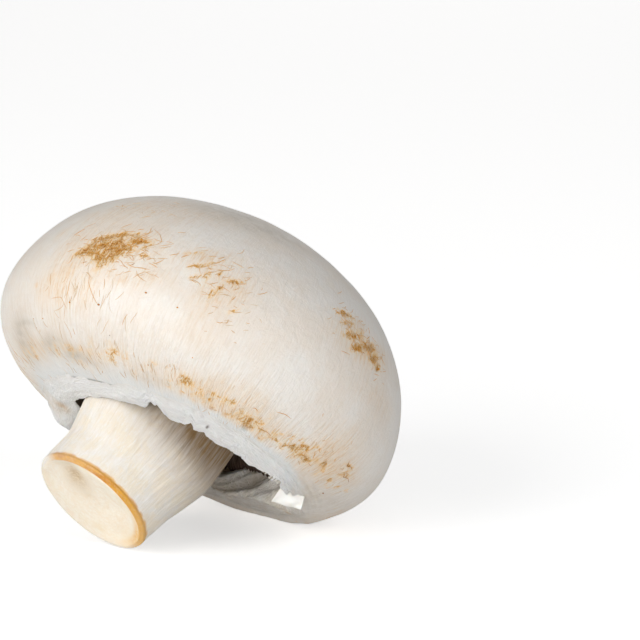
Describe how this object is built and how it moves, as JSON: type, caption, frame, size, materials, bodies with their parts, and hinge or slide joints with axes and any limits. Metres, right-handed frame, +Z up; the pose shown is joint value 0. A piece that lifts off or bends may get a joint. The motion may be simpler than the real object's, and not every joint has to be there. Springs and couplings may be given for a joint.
{
  "type": "button mushroom",
  "caption": "Closed-cup button mushroom with a rounded cream cap, a torn white veil, brown gills and a short cut stem, lying tipped on its side.",
  "frame": {"origin": "centre of the bounding box on the surface the mushroom lies on", "axes": "+Z up; the stem points down towards -Y and the cap's crown leans up towards +Y"},
  "size_m": [0.0504, 0.047, 0.0428],
  "materials": {
    "cap_skin": "soft dry skin, creamy white, bruised orange-brown in streaks",
    "veil": "fibrous cool white, matt",
    "gill": "thin dark brown blades, matt",
    "stem_skin": "cream, fibrous along its length, cut end tan with an orange edge"
  },
  "bodies": {
    "root": {"cap": "cap_skin", "torn_veil": "veil", "gills": "gill", "stem": "stem_skin"}
  },
  "joints": []
}
